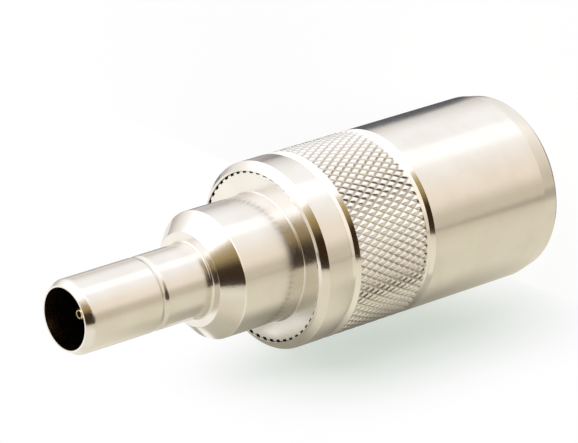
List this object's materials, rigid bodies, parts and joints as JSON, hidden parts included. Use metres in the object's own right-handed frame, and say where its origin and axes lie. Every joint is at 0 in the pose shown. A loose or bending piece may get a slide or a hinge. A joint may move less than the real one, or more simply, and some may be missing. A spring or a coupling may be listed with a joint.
{
  "type": "coaxial adapter",
  "caption": "In-line coaxial adapter: a slim push-on nose with a hollow centre contact, a bevelled collar, and a diamond-knurled barrel around a push-on socket.",
  "frame": {"origin": "centre of the barrel's open rim, on the surface that it stands on", "axes": "+Z along the adapter's axis, from the barrel's open rim towards the mouth of the nose"},
  "size_m": [0.014, 0.014, 0.0413],
  "materials": {
    "nickel_plate": "bright nickel plate on brass",
    "spring_nickel": "satin nickel plate on spring brass",
    "gold_plate": "thin gold plate on brass",
    "white_insulator": "plain white fluoropolymer"
  },
  "bodies": {
    "root": {"barrel": "nickel_plate", "body": "nickel_plate", "spring_sleeve": "spring_nickel", "socket_insulator": "white_insulator", "socket_contact": "gold_plate", "nose_insulator": "white_insulator", "nose_contact": "gold_plate"}
  },
  "joints": []
}
